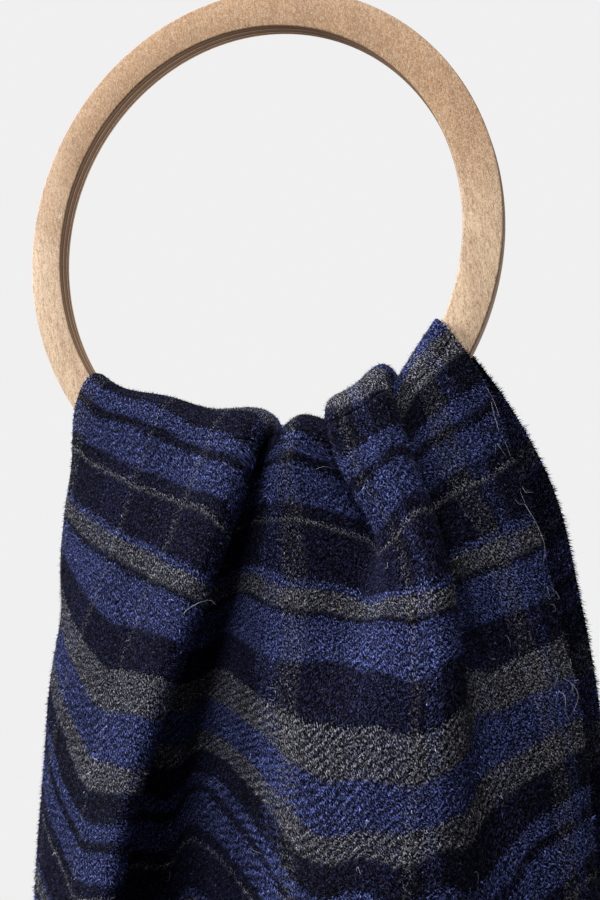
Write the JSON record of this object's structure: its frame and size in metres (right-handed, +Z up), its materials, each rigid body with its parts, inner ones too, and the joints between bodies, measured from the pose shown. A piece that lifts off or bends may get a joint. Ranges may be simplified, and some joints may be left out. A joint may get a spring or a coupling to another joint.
{
  "type": "wool scarf and ring hanger",
  "caption": "Long checked wool scarf hung in soft folds through a round plywood ring hanger, its two ends falling in front and behind.",
  "frame": {"origin": "the point on the inside of the ring's top that rests on a peg, half way through the ring's thickness", "axes": "+Z up, the front of the scarf towards -Y, +X to the right as seen from the front"},
  "size_m": [0.3325, 0.1095, 1.152],
  "materials": {
    "plywood": "sanded plywood, pale face with darker ply lines at the edges",
    "wool": "brushed twill wool in a blue, near-black and grey check"
  },
  "bodies": {
    "root": {"ring_hanger": "plywood", "scarf_front_fall": "wool", "scarf_over_ring": "wool", "scarf_back_fall": "wool"}
  },
  "joints": []
}
